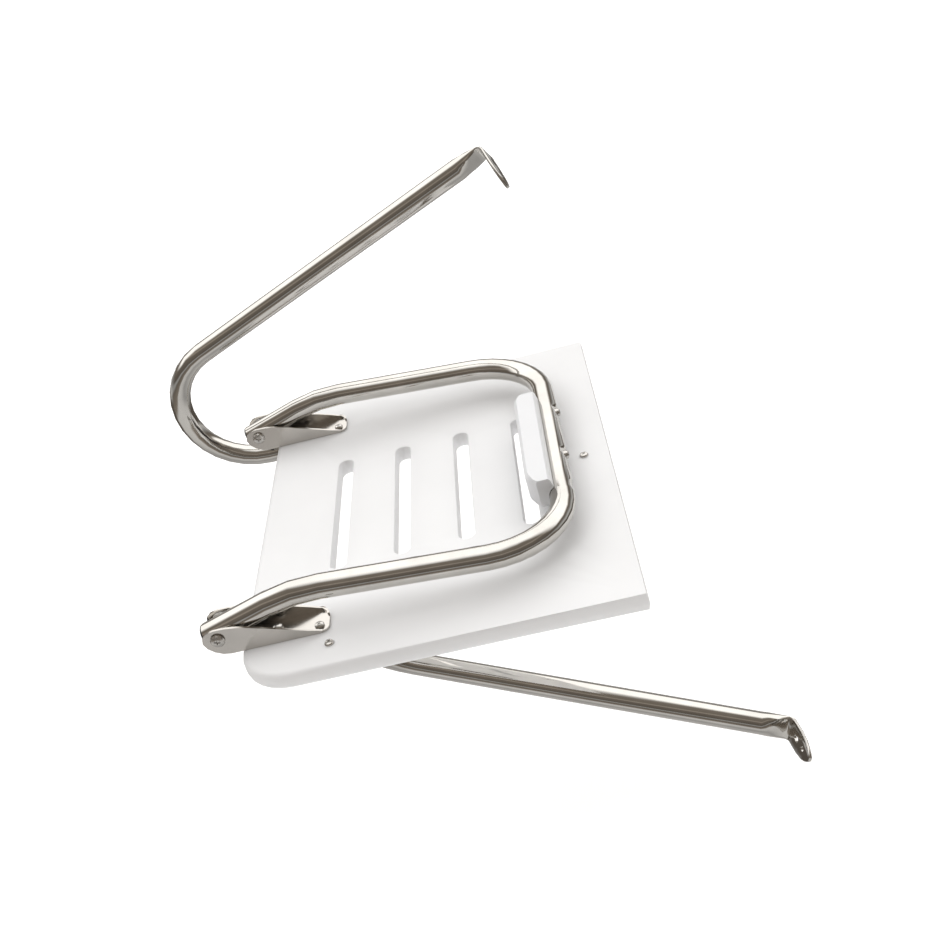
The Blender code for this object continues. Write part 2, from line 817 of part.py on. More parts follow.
# ---- board -----------------------------------------------------------------
def make_board():
    bm = bmesh.new()
    hx, hy = BOARD_X / 2, BOARD_Y / 2
    radii = (AFT_CORNER_R, FORE_CORNER_R, FORE_CORNER_R, AFT_CORNER_R)
    rings = []
    r = EDGE_ROUND
    levels = []
    for i in range(4):
        a = 0.5 * math.pi * i / 3
        levels.append((-BOARD_T + r * (1 - math.cos(a)), r * (1 - math.sin(a))))
    for i in range(4):
        a = 0.5 * math.pi * (1 - i / 3)
        levels.append((-r * (1 - math.cos(a)), r * (1 - math.sin(a))))
    for z, inset in levels:
        rings.append([Vector((x, y, z)) for x, y in rounded_outline(-hx, hx, -hy, hy, radii, inset)])
    stack(bm, rings)
    board = finish("platform_board", bm, WHITE)

    cutters = []
    for k in range(SLOT_COUNT):
        cx = SLOT_FIRST_X + SLOT_PITCH * k
        half = SLOT_W / 2
        s = SLOT_ROUND
        rows = []
        for z, grow in (
            (-BOARD_T - 3.0, s), (-BOARD_T, s), (-BOARD_T + 0.3 * s, 0.29 * s), (-BOARD_T + s, 0.0),
            (-s, 0.0), (-0.3 * s, 0.29 * s), (0.0, s), (3.0, s),
        ):
            ring = []
            r2 = half + grow
            for yc, a0 in ((SLOT_Y1 - half, 0.0), (SLOT_Y0 + half, math.pi)):
                for i in range(9):
                    a = a0 + math.pi * i / 8
                    ring.append(Vector((cx + r2 * math.cos(a), yc + r2 * math.sin(a), z)))
            rows.append(ring)
        bm = bmesh.new()
        stack(bm, rows)
        cutters.append(cutter_from(bm))
    for x, y in THROUGH_HOLES:
        cutters.append(rod_cutter((x, y, -BOARD_T - 3), (x, y, 3), 3.5, 14))
    for x, y in SOCKETS:
        cutters.append(rod_cutter((x, y, -BOARD_T - 3), (x, y, -11.5), 8.5, 18))
    return cut(board, cutters)


# ---- ladder -------------------------------------------------------------------
def ladder_centre():
    slope = (CROOK_Z - PIVOT_Z) / (CROOK_X - PIVOT_X)
    length = math.hypot(1.0, slope)
    start = (PIVOT_X - TAIL / length, PIVOT_Z - TAIL * slope / length)
    w = LADDER_HALF
    points = [
        (start[0], -w, start[1]), (CROOK_X, -w, CROOK_Z), (CROSS_X, -w, CROSS_Z),
        (CROSS_X, w, CROSS_Z), (CROOK_X, w, CROOK_Z), (start[0], w, start[1]),
    ]
    path = fillet_path(points, (CROOK_R, CORNER_R, CORNER_R, CROOK_R), 10.0)
    # extra rings where the cross tube is dented for its bolts
    full = []
    for p, q in zip(path, path[1:]):
        full.append(p)
        if abs(p.x - q.x) < 1e-3 and abs(q.y - p.y) > 60:
            stops = []
            for yb, _ in DENTS:
                for k in (-11.5, -8, -4, 0, 4, 8, 11.5):
                    stops.append(yb + k)
            for y in sorted(stops):
                full.append(Vector((p.x, y, p.z)))
    full.append(path[-1])
    return full


def make_ladder():
    path = ladder_centre()
    frames, dirs = carried_frames(path, Vector((0, 0, 1)))

    def dent(i):
        p = path[i]
        if abs(p.x - CROSS_X) > 0.5:
            return 0.0
        return max(
            depth * max(0.0, 1 - (abs(p.y - yb) / 11.0) ** 2) for yb, depth in DENTS
        )

    def shape(i, a, radius):
        u, v = frames[i]
        p, q = radius * math.cos(a), radius * math.sin(a)
        d = dent(i)
        if d > 0:
            off = u * p + v * q
            limit = TUBE_R - d - (TUBE_R - radius)
            if off.x > limit:
                off.x = limit + (off.x - limit) * 0.12
            p, q = off.dot(u), off.dot(v)
        return p, q

    def outer(i, a):
        return shape(i, a, TUBE_R)

    def bore(i, a=None):
        if i == "span":
            return 0, len(path) - 1
        return shape(i, a, (TUBE_R - TUBE_WALL))

    bm = bmesh.new()
    sweep(bm, path, frames, outer, bore)
    ladder = finish("ladder_tube", bm, STEEL, origin=(PIVOT_X, 0.0, PIVOT_Z), smooth=40)
    cutters = []
    for s in (-1, 1):
        y = s * LADDER_HALF
        cutters.append(rod_cutter((PIVOT_X, y - 20, PIVOT_Z), (PIVOT_X, y + 20, PIVOT_Z), 5.4, 16))
    for yb in STEP_BOLT_Y:
        cutters.append(rod_cutter((CROSS_X - 20, yb, CROSS_Z), (CROSS_X + 20, yb, CROSS_Z), 3.1, 12))
    return cut(ladder, cutters)


def make_step():
    """White moulded tread: a hollow-backed bar whose back is scooped for the tube."""
    bm = bmesh.new()
    x0, x1 = STEP_FACE_X, STEP_BACK_X + 8.0
    zc = CROSS_Z
    gap_r = TUBE_R + 0.5
    # outline of the section in X-Z, from the stepping face round to the scoop
    section = [(x0 + 3.0, STEP_Z0 + 1.0), (x0, STEP_Z0 + 4.5), (x0, STEP_Z1 - 3.5), (x0 + 3.5, STEP_Z1)]
    section.append((STEP_BACK_X - 2.0, STEP_Z1))
    section.append((STEP_BACK_X, STEP_Z1 - 2.0))
    a0 = math.radians(118)
    for i in range(7):
        a = a0 + (math.radians(242) - a0) * i / 6
        section.append((CROSS_X + gap_r * math.cos(a), zc + gap_r * math.sin(a)))
    section.append((STEP_BACK_X, STEP_Z0 + 3.0))
    section.append((STEP_BACK_X - 2.0, STEP_Z0 + 1.0))
    rings = []
    ends = (
        (STEP_Y0, 0.45), (STEP_Y0 + 5.0, 0.72), (STEP_Y0 + 14.0, 0.93), (STEP_Y0 + 20.0, 1.0),
        (STEP_Y1 - 16.0, 1.0), (STEP_Y1 - 8.0, 0.93), (STEP_Y1 - 2.5, 0.78), (STEP_Y1, 0.6),
    )
    for y, k in ends:
        ring = []
        for i, (x, z) in enumerate(section):
            if i < 4:
                x = STEP_BACK_X - 6.0 - (STEP_BACK_X - 6.0 - x) * k
            if i < 6 or i > 12:
                z = zc + (z - zc) * (0.9 + 0.1 * k)
            ring.append(Vector((x, y, z)))
        rings.append(ring)
    stack(bm, rings)
    step = finish("ladder_step", bm, WHITE, origin=(CROSS_X, 0.0, CROSS_Z), smooth=30)
    cutters = []
    for yb in STEP_BOLT_Y:
        cutters.append(rod_cutter((x0 - 5, yb, zc), (CROSS_X, yb, zc), 3.1, 12))
        cutters.append(rod_cutter((x0 - 5, yb, zc), (x0 + 6.0, yb, zc), 8.0, 20))
    return cut(step, cutters)


def screw(name, base, axis, head_r, head_h, shank_r, shank_len, recess=True, turn=0.3, origin=None, sides=14):
    """Pan-head screw: head above base along axis, shank below it."""
    base, axis = Vector(base), Vector(axis).normalized()
    bm = bmesh.new()
    profile = [(-shank_len, shank_r * 0.8), (-shank_len + 1.0, shank_r), (0.0, shank_r), (0.0, head_r),
               (head_h * 0.4, head_r), (head_h * 0.78, head_r * 0.84), (head_h, head_r * 0.45)]
    rows = [disc(base + axis * d, axis, r, sides) for d, r in profile]
    stack(bm, rows)
    obj = finish(name, bm, STEEL, origin=tuple(origin or base), smooth=45)
    if recess:
        cut(obj, cross_cutter(base + axis * head_h, axis, head_r * 0.55, head_h * 0.55, turn))
    return obj


def hex_nut(bm, base, axis, across, height, bore_r):
    """Hexagon nut with a plain bore, drawn as one closed ring solid."""
    axis = Vector(axis).normalized()
    base = Vector(base)
    side = axis.orthogonal().normalized()
    other = axis.cross(side)
    big = across / 2 / math.cos(math.pi / 6)

    def ring(dist, radius, six):
        pts = []
        for i in range(12):
            a = 2 * math.pi * i / 12
            r = radius
            if six and i % 2:
                r = radius * math.cos(math.pi / 6)
            pts.append(base + axis * dist + side * (r * math.cos(a)) + other * (r * math.sin(a)))
        return pts

    rows = [ring(0, bore_r, False), ring(0, big * 0.93, True), ring(height * 0.12, big, True),
            ring(height * 0.86, big, True), ring(height, big * 0.9, True), ring(height, bore_r, False)]
    made = [[bm.verts.new(p) for p in row] for row in rows]
    for lower, upper in zip(made, made[1:] + made[:1]):
        for i in range(12):
            j = (i + 1) % 12
            bm.faces.new((lower[i], lower[j], upper[j], upper[i]))


def washer(bm, base, axis, outer_r, inner_r, height, sides=18):
    base = Vector(base)
    axis = Vector(axis).normalized()
    rows = [disc(base + axis * d, axis, r, sides) for d, r in
            ((0, inner_r), (0, outer_r), (height, outer_r), (height, inner_r))]
    made = [[bm.verts.new(p) for p in row] for row in rows]
    for lower, upper in zip(made, made[1:] + made[:1]):
        for i in range(sides):
            j = (i + 1) % sides
            bm.faces.new((lower[i], lower[j], upper[j], upper[i]))


# ---- hinge bracket ---------------------------------------------------------------
def plate_from(outline, y0, y1):
    """Prism of an X-Z outline between two y planes."""
    bm = bmesh.new()
    stack(bm, [[Vector((x, y0, z)) for x, z in outline], [Vector((x, y1, z)) for x, z in outline]])
    return bm


def ear_outline(tip_x, top_pts, foot_x):
    pts = []
    cx, cz, r = PIVOT_X - 2.5, PIVOT_Z - 2.0, 13.0
    pts.append((foot_x, BASE_LIFT))
    pts.extend(((-206.0, BASE_LIFT), (-213.5, 1.7), (-221.0, 6.0), (-226.6, 12.0), (-228.9, 18.5),
                (-227.2, 24.6), (-222.0, 29.0), (-214.5, 30.9)))
    pts.extend(top_pts)
    return pts


def make_bracket(name, yc):
    top_near = [(-203.0, 30.6), (-192.0, 29.0), (-180.6, 25.6), (-162.0, 19.2), (-142.9, 12.4), (-126.0, 6.4), (-113.5, 2.9)]
    near = ear_outline(-113.5, top_near, -113.5)
    top_rear = [(-203.0, 30.8), (-194.0, 29.2), (-176.0, 24.6), (-158.0, 19.6), (-140.0, 14.6), (-126.0, 9.6), (-117.0, 6.0), (-112.0, 5.0)]
    rear = ear_outline(-112.0, top_rear, -112.0)
    obj = None
    bm = plate_from(near, yc - EAR_OUT, yc - EAR_OUT + SHEET)
    obj = finish(name, bm, STEEL, origin=(0, 0, 0), smooth=35)
    parts = []
    bm = plate_from(rear, yc + EAR_OUT - SHEET, yc + EAR_OUT)
    parts.append(cutter_from(bm))
    # flat base with a rounded nose
    y0, y1 = yc - EAR_OUT + 0.7, yc + EAR_OUT - 0.7
    outline = [(-193.5, y1), (-193.5, y0), (-114.0, y0)]
    outline = [(-193.5, y1), (-193.5, y0)]
    outline.append((-116.0, y0))
    for i in range(5):
        a = -0.5 * math.pi + 0.5 * math.pi * i / 4
        outline.append((-113.6 + 6.5 * math.cos(a), y0 + 6.5 + 6.5 * math.sin(a)))
    for i in range(5):
        a = 0.5 * math.pi * i / 4
        outline.append((-118.1 + 11.0 * math.cos(a), y1 - 11.0 + 11.0 * math.sin(a)))
    bm = bmesh.new()
    stack(bm, [[Vector((x, y, BASE_LIFT)) for x, y in outline], [Vector((x, y, BASE_LIFT + SHEET)) for x, y in outline]])
    parts.append(cutter_from(bm))
    # rim that carries the rear wall round the nose
    inner, outer_ = [], []
    for i in range(5):
        a = 0.5 * math.pi * i / 4
        outer_.append((-118.1 + 11.0 * math.cos(a), y1 + 0.7 - 11.0 - 0.7 + 11.7 * math.sin(a) - 0.0))
        inner.append((-118.1 + 8.9 * math.cos(a), y1 - 11.0 + 9.2 * math.sin(a)))
    ring = [(-124.0, y1 + 0.7)] + outer_[::-1][0:] + inner + [(-124.0, y1 - 1.8)]
    bm = bmesh.new()
    stack(bm, [[Vector((x, y, BASE_LIFT + 0.5)) for x, y in ring], [Vector((x, y, 6.2 if x < -112 else 5.0)) for x, y in ring]])
    parts.append(cutter_from(bm))
    cut(obj, parts, "UNION")
    holes = [rod_cutter((PIVOT_X, yc - 30, PIVOT_Z), (PIVOT_X, yc + 30, PIVOT_Z), 4.6, 16)]
    for dx, dy in BRACKET_HOLES:
        holes.append(rod_cutter((dx, yc + dy, -2), (dx, yc + dy, 5), 3.5, 14))
    return cut(obj, holes)


# ---- strut --------------------------------------------------------------------------
def strut_axes(yaw, roll):
    e = Vector((math.cos(yaw), math.sin(yaw), 0.0))
    v = Vector((-math.sin(yaw) * math.cos(roll), math.cos(yaw) * math.cos(roll), math.sin(roll)))
    return e, v


def make_strut(name, start, yaw, roll, out_sign, tab, clamp_t):
    """V-shaped strut: straight top arm, one bend, straight arm, flattened tab.

    out_sign picks the side of the bend's plane that the tab turns to.
    tab gives its direction as parts of e, outward normal and v.
    """
    e, v = strut_axes(yaw, roll)
    n = e.cross(v) * out_sign
    s = Vector((start[0], start[1], STRUT_Z))
    path = [s + e * STRUT_TOP, s + e * (STRUT_TOP * 0.5), s.copy()]
    steps = 14
    for i in range(1, steps + 1):
        a = STRUT_BEND * i / steps
        path.append(s - e * (STRUT_R * math.sin(a)) + v * (STRUT_R * (1 - math.cos(a))))
    d = (-e * math.cos(STRUT_BEND) + v * math.sin(STRUT_BEND)).normalized()
    tip = path[-1]
    flat_from = STRUT_ARM - 34.0
    for t in (0.5,):
        path.append(tip + d * (flat_from * t))
    round_end = len(path)
    squash = []
    for k, t in enumerate((0.0, 0.3, 0.6, 0.85, 1.0)):
        path.append(tip + d * (flat_from + 30.0 * t))
        squash.append(t)
    flat_start = len(path)
    tdir = (e * tab[0] + n * tab[1] + v * tab[2]).normalized()
    m = (tdir - d * tdir.dot(d)).normalized()      # the way the tab turns
    w = d.cross(m).normalized()                    # along the fold
    # fold: arc from d towards tdir
    turn = d.angle(tdir)
    fold_r = 6.0
    base = path[-1]
    arc = 4
    for i in range(1, arc + 1):
        a = turn * i / arc
        path.append(base + d * (fold_r * math.sin(a)) + m * (fold_r * (1 - math.cos(a))))
    fold_end = len(path)
    here = path[-1]
    for t in TAB_STOPS:
        path.append(here + tdir * t)

    dirs = tangents(path)
    frames = []
    for i, t in enumerate(dirs):
        # u follows the width of the flattened end, v the way it folds
        u = w
        if i < round_end:
            u = w
        vv = None
        u2 = (u - t * u.dot(t))
        if u2.length < 1e-6:
            u2 = t.orthogonal()
        u2.normalize()
        frames.append((u2, t.cross(u2).normalized()))
    # carry the frame smoothly back through the bend so that it doesn't twist
    for i in range(round_end - 1, -1, -1):
        turn_q = dirs[i + 1].rotation_difference(dirs[i])
        u2 = turn_q @ frames[i + 1][0]
        u2 = (u2 - dirs[i] * u2.dot(dirs[i])).normalized()
        frames[i] = (u2, dirs[i].cross(u2).normalized())

    widths = {}
    for i in range(len(path)):
        if i < round_end:
            widths[i] = (TUBE_R, TUBE_R, 0.0)
        elif i < flat_start:
            t = squash[i - round_end]
            widths[i] = (TUBE_R + (TAB_W / 2 - TUBE_R) * t, TUBE_R + (TAB_T / 2 - TUBE_R) * t, t)
        elif i < fold_end:
            widths[i] = (TAB_W / 2, TAB_T / 2, 1.0)
        else:
            j = i - fold_end
            widths[i] = (TAB_HALF[j], TAB_T / 2, 1.0)

    def outer(i, a):
        hw, ht, k = widths[i]
        c, sn = math.cos(a), math.sin(a)
        p = hw * c
        q = ht * sn
        if k > 0:
            q = ht * ((1 - k) * sn + k * max(-1.0, min(1.0, 2.05 * sn)))
        return p, q

    stop_bore = round_end - 1

    def bore(i, a=None):
        if i == "span":
            return 0, stop_bore
        r = TUBE_R - TUBE_WALL
        return r * math.cos(a), r * math.sin(a)

    bm = bmesh.new()
    sweep_half(bm, path, frames, outer, bore, stop_bore)
    obj = finish(name, bm, STEEL, origin=tuple(s + e * clamp_t), smooth=40)
    holes = []
    normal = tdir.cross(w).normalized()
    for t0, half_len in TAB_HOLES:
        c = here + tdir * t0
        bm = bmesh.new()
        r = 3.4
        ring = []
        for cc, a0 in ((c + tdir * half_len, -0.5 * math.pi), (c - tdir * half_len, 0.5 * math.pi)):
            for i in range(7):
                a = a0 + math.pi * i / 6
                ring.append(cc + tdir * (r * math.cos(a)) + w * (r * math.sin(a)))
        stack(bm, [[p - normal * 6 for p in ring], [p + normal * 6 for p in ring]])
        holes.append(cutter_from(bm))
    cut(obj, holes)
    return obj


def sweep_half(bm, path, frames, outer, bore, stop_bore):
    """Tube open at its start, bored to one ring and solid beyond it."""
    def ring(fn, i, sides):
        u, v = frames[i]
        pts = []
        for k in range(sides):
            p, q = fn(i, 2 * math.pi * k / sides)
            pts.append(path[i] + u * p + v * q)
        return pts

    skin = stack(bm, [ring(outer, i, SIDES) for i in range(len(path))], close=False)
    inner = stack(bm, [ring(bore, i, BORE_SIDES) for i in range(stop_bore + 1)], close=False)
    bm.faces.new(skin[-1])
    bm.faces.new(inner[-1])
    ratio = SIDES // BORE_SIDES
    for k in range(BORE_SIDES):
        m = (k + 1) % BORE_SIDES
        fan = [skin[0][(k * ratio + j) % SIDES] for j in range(ratio + 1)]
        for j in range(ratio // 2):
            bm.faces.new((inner[0][k], fan[j], fan[j + 1]))
        bm.faces.new((inner[0][k], fan[ratio // 2], inner[0][m]))
        for j in range(ratio // 2, ratio):
            bm.faces.new((inner[0][m], fan[j], fan[j + 1]))


TAB_W = 30.0
TAB_T = 3.4
TAB_STOPS = (6.0, 20.0, 34.0, 42.0, 48.0, 51.0)
TAB_HALF = (15.0, 15.0, 13.0, 9.5, 5.5, 2.2)
TAB_HOLES = ((14.0, 2.6), (32.0, 0.01))
CLAMP_LEN = 26.0


def make_clamp(side, start, yaw, t_at):
    """Split nylon block round the top arm; its upper half turns on a boss in the board."""
    e, v = strut_axes(yaw, -0.5 * math.pi)
    across = Vector((-e.y, e.x, 0.0))
    c = Vector((start[0], start[1], STRUT_Z)) + e * t_at
    bore_r = TUBE_R + 0.35
    top = -BOARD_T - GAP
    half_w = 24.0

    def block(z0, z1, upper):
        ring = []
        pts = []
        if upper:
            prof = [(-half_w, 0.3), (-bore_r - 0.01, 0.3)]
            for i in range(9):
                a = math.pi - math.pi * i / 8
                prof.append((bore_r * math.cos(a), max(0.3, bore_r * math.sin(a))))
            prof += [(half_w, 0.3), (half_w, top - c.z - 2.5), (half_w - 2.5, top - c.z), (-half_w + 2.5, top - c.z), (-half_w, top - c.z - 2.5)]
        else:
            low = -bore_r - 4.0
            prof = [(half_w, -0.3), (bore_r + 0.01, -0.3)]
            for i in range(9):
                a = -math.pi * i / 8
                prof.append((bore_r * math.cos(a), min(-0.3, bore_r * math.sin(a))))
            prof += [(-half_w, -0.3), (-half_w, -6.0), (-bore_r - 0.5, -6.0), (-bore_r + 3.0, low), (bore_r - 3.0, low), (bore_r + 0.5, -6.0), (half_w, -6.0)]
        clean = []
        for p in prof:
            if not clean or (abs(clean[-1][0] - p[0]) + abs(clean[-1][1] - p[1])) > 0.05:
                clean.append(p)
        bm = bmesh.new()
        rows = []
        for t in (-CLAMP_LEN / 2, CLAMP_LEN / 2):
            rows.append([c + e * t + across * a + Vector((0, 0, b)) for a, b in clean])
        stack(bm, rows)
        return bm

    upper = finish(side + "_clamp_upper", block(0, 0, True), NYLON, origin=tuple(c), smooth=35)
    boss = rod_cutter((c.x, c.y, top - 1.0), (c.x, c.y, -12.0), 8.0, 18)
    cut(upper, [boss], "UNION")
    lower = finish(side + "_clamp_cap", block(0, 0, False), NYLON, origin=tuple(c), smooth=35)
    spots = [c + across * 18.8, c - across * 18.8]
    holes = [rod_cutter((p.x, p.y, c.z - 12), (p.x, p.y, top - 3.5), 2.8, 12) for p in spots]
    cut(upper, holes)
    holes = [rod_cutter((p.x, p.y, c.z - 12), (p.x, p.y, top), 2.8, 12) for p in spots]
    cut(lower, holes)
    for tag, p in zip(("a", "b"), spots):
        bm = bmesh.new()
        base = Vector((p.x, p.y, c.z - 6.0 - GAP))
        lathe(bm, base, (0, 0, -1), ((-14.0, 2.0), (-13.0, 2.4), (0.0, 2.4), (0.0, 4.6), (1.6, 4.6), (3.0, 2.6)), 14)
        finish(side + "_clamp_screw_" + tag, bm, STEEL, origin=tuple(c), smooth=40)
    bm = bmesh.new()
    end = Vector((start[0], start[1], STRUT_Z)) + e * STRUT_TOP
    lathe(bm, end, e, ((-12.0, 9.6), (-11.0, 10.2), (-0.0 + GAP, 10.2), (GAP, 12.4), (2.4, 12.4), (3.6, 11.0)), 24)
    plug = finish(side + "_strut_plug", bm, BLACK, origin=tuple(c), smooth=40)
    return upper, lower, plug, c, e


# ---- holes shared by several parts ---------------------------------------------------
BRACKET_HOLES = ((-116.5, -9.0), (-160.0, 2.0))
BOARD_SCREWS = ((-106.3, -227.8), (168.3, -6.2))
FAR_CLAMP = (FAR_START[0] + FAR_CLAMP_T, FAR_START[1])
NEAR_CLAMP = (NEAR_START[0] + NEAR_CLAMP_T * math.cos(NEAR_YAW), NEAR_START[1] + NEAR_CLAMP_T * math.sin(NEAR_YAW))
SOCKETS = (FAR_CLAMP, NEAR_CLAMP)
THROUGH_HOLES = []
NUT_NAMES = []
for side, yc in (("near", -LADDER_HALF), ("far", LADDER_HALF)):
    for tag, (dx, dy) in zip(("nose", "base"), BRACKET_HOLES):
        THROUGH_HOLES.append((dx, yc + dy))
        NUT_NAMES.append(side + "_" + tag)
THROUGH_HOLES.extend(BOARD_SCREWS)
NUT_NAMES.extend(("edge", "centre"))

board = make_board()
ladder = make_ladder()
step = make_step()

for side, yc in (("near", -LADDER_HALF), ("far", LADDER_HALF)):
    make_bracket(side + "_hinge_bracket", yc)
    # pivot: shouldered screw through both ears, bush in the tube, washers and a nut
    face = yc - EAR_OUT
    screw(side + "_pivot_screw", (PIVOT_X, face - GAP, PIVOT_Z), (0, -1, 0), 7.2, 3.6, 3.9,
          2 * EAR_OUT + GAP + 9.0, turn=0.5, origin=(PIVOT_X, yc, PIVOT_Z), sides=18)
    bm = bmesh.new()
    hex_nut(bm, (PIVOT_X, yc + EAR_OUT + GAP, PIVOT_Z), (0, 1, 0), 13.0, 6.0, 4.2)
    finish(side + "_pivot_nut", bm, STEEL, origin=(PIVOT_X, yc, PIVOT_Z), smooth=30)
    # top-hat bushes pressed in from each side keep the tube off the ears
    for tag, s in (("outer", -1), ("inner", 1)):
        bm = bmesh.new()
        ring_lathe(bm, (PIVOT_X, yc + s * (TUBE_R + 1.7), PIVOT_Z), (0, -s, 0),
                   ((0.0, 4.3), (0.0, 9.0), (1.2, 9.0), (1.2, 5.05), (13.6, 5.05), (13.6, 4.3)), 16)
        finish(side + "_pivot_bush_" + tag, bm, NYLON, origin=(PIVOT_X, yc, PIVOT_Z), smooth=40)
    (hx, hy), (bx, by) = BRACKET_HOLES
    floor = BASE_LIFT + SHEET + GAP
    screw(side + "_nose_screw", (hx, yc + hy, floor), (0, 0, 1), 4.9, 3.0, 3.0, BOARD_T + 12.0, turn=0.2)
    screw(side + "_base_bolt", (bx, yc + by, floor), (0, 0, 1), 6.4, 4.6, 3.0, BOARD_T + 12.0, turn=0.6)

for tag, (x, y) in zip(("edge", "centre"), BOARD_SCREWS):
    screw(tag + "_board_screw", (x, y, GAP), (0, 0, 1), 4.8, 2.8, 3.0, BOARD_T + 9.5, turn=0.1)

# a flanged nut under the board on every through fastener
for tag, (x, y) in zip(NUT_NAMES, THROUGH_HOLES):
    bm = bmesh.new()
    flange_nut(bm, (x, y, -BOARD_T - GAP), (0, 0, -1))
    finish(tag + "_nut", bm, STEEL, origin=(x, y, -BOARD_T), smooth=30)

for tag, yb in zip(("far", "near"), STEP_BOLT_Y):
    seat = CROSS_X + TUBE_R - DIMPLE_DEPTH + 2.2
    screw("step_bolt_" + tag, (seat, yb, CROSS_Z), (1, 0, 0), 5.0, 5.6, 2.7, seat - STEP_FACE_X - 1.0, turn=0.4,
          origin=(CROSS_X, yb, CROSS_Z))
for tag, yb in zip(("far", "near"), STEP_BOLT_Y):
    bm = bmesh.new()
    hex_nut(bm, (STEP_FACE_X + 6.0 - GAP, yb, CROSS_Z), (-1, 0, 0), 9.0, 4.2, 3.0)
    finish("step_nut_" + tag, bm, STEEL, origin=(CROSS_X, 0, CROSS_Z), smooth=30)

# push-in caps that close the two ladder tube ends
path = ladder_centre()
for tag, end, nxt in (("near", path[0], path[1]), ("far", path[-1], path[-2])):
    out = (end - nxt).normalized()
    bm = bmesh.new()
    lathe(bm, end, out, ((-4.5, 9.4), (-3.5, 10.3), (GAP, 10.3), (GAP, 12.3), (1.6, 12.3), (2.6, 11.0)), 24)
    finish(tag + "_ladder_plug", bm, BLACK, origin=(PIVOT_X, 0.0, PIVOT_Z), smooth=40)

make_strut("far_strut", FAR_START, 0.0, FAR_ROLL, 1.0, (0.60, 1.68, -1.10), FAR_CLAMP_T)
make_strut("near_strut", NEAR_START, NEAR_YAW, NEAR_ROLL, -1.0, (1.08, 1.63, -1.10), NEAR_CLAMP_T)
make_clamp("far", FAR_START, 0.0, FAR_CLAMP_T)
make_clamp("near", NEAR_START, NEAR_YAW, NEAR_CLAMP_T)
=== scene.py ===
import math

import bpy
from mathutils import Matrix, Vector

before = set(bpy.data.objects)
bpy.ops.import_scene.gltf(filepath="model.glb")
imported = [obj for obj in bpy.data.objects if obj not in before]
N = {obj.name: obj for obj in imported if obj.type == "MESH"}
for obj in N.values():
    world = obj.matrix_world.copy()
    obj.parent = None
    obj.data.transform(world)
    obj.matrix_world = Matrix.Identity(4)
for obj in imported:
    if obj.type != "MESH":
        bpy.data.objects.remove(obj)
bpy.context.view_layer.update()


# ---------------------------------------------------------------- materials
def tree(name):
    mat = bpy.data.materials.new(name)
    mat.use_nodes = True
    nt = mat.node_tree
    return mat, nt, nt.nodes["Principled BSDF"]


def noise(nt, scale, detail=4.0, rough=0.55, vec=None, dist=0.0):
    node = nt.nodes.new("ShaderNodeTexNoise")
    node.inputs["Scale"].default_value = scale
    node.inputs["Detail"].default_value = detail
    node.inputs["Roughness"].default_value = rough
    node.inputs["Distortion"].default_value = dist
    if vec is not None:
        nt.links.new(vec, node.inputs["Vector"])
    return node


def ramp(nt, fac, stops):
    node = nt.nodes.new("ShaderNodeValToRGB")
    els = node.color_ramp.elements
    while len(els) < len(stops):
        els.new(0.5)
    for el, (pos, col) in zip(els, stops):
        el.position = pos
        el.color = (*col, 1.0) if len(col) == 3 else col
    nt.links.new(fac, node.inputs["Fac"])
    return node


def mapping(nt, scale=(1, 1, 1), rot=(0, 0, 0)):
    coord = nt.nodes.new("ShaderNodeTexCoord")
    node = nt.nodes.new("ShaderNodeMapping")
    node.inputs["Scale"].default_value = scale
    node.inputs["Rotation"].default_value = rot
    nt.links.new(coord.outputs["Object"], node.inputs["Vector"])
    return node.outputs["Vector"]


def bump(nt, height, strength, distance, normal=None):
    node = nt.nodes.new("ShaderNodeBump")
    node.inputs["Strength"].default_value = strength
    node.inputs["Distance"].default_value = distance
    nt.links.new(height, node.inputs["Height"])
    if normal is not None:
        nt.links.new(normal, node.inputs["Normal"])
    return node.outputs["Normal"]


def poly(name, tint, rough, sheen=0.0):
    """Moulded or routed polyethylene: faint mottling, fine orange-peel."""
    mat, nt, b = tree(name)
    vec = mapping(nt)
    big = noise(nt, 9.0, 3.0, 0.5, vec)
    low = tuple(c * 0.965 for c in tint)
    col = ramp(nt, big.outputs["Fac"], ((0.3, low), (0.7, tint)))
    nt.links.new(col.outputs["Color"], b.inputs["Base Color"])
    patch = noise(nt, 40.0, 4.0, 0.6, vec)
    r = nt.nodes.new("ShaderNodeMapRange")
    r.inputs["From Min"].default_value = 0.3
    r.inputs["From Max"].default_value = 0.7
    r.inputs["To Min"].default_value = rough - 0.05
    r.inputs["To Max"].default_value = rough + 0.07
    nt.links.new(patch.outputs["Fac"], r.inputs["Value"])
    nt.links.new(r.outputs["Result"], b.inputs["Roughness"])
    fine = noise(nt, 900.0, 3.0, 0.6, vec)
    n1 = bump(nt, fine.outputs["Fac"], 0.12, 0.0004)
    wave = noise(nt, 60.0, 2.0, 0.5, vec)
    n2 = bump(nt, wave.outputs["Fac"], 0.06, 0.0012, n1)
    nt.links.new(n2, b.inputs["Normal"])
    b.inputs["IOR"].default_value = 1.5
    b.inputs["Specular IOR Level"].default_value = 0.42
    b.inputs["Subsurface Weight"].default_value = 0.06
    b.inputs["Subsurface Radius"].default_value = (0.004, 0.004, 0.004)
    b.inputs["Subsurface Scale"].default_value = 0.5
    return mat


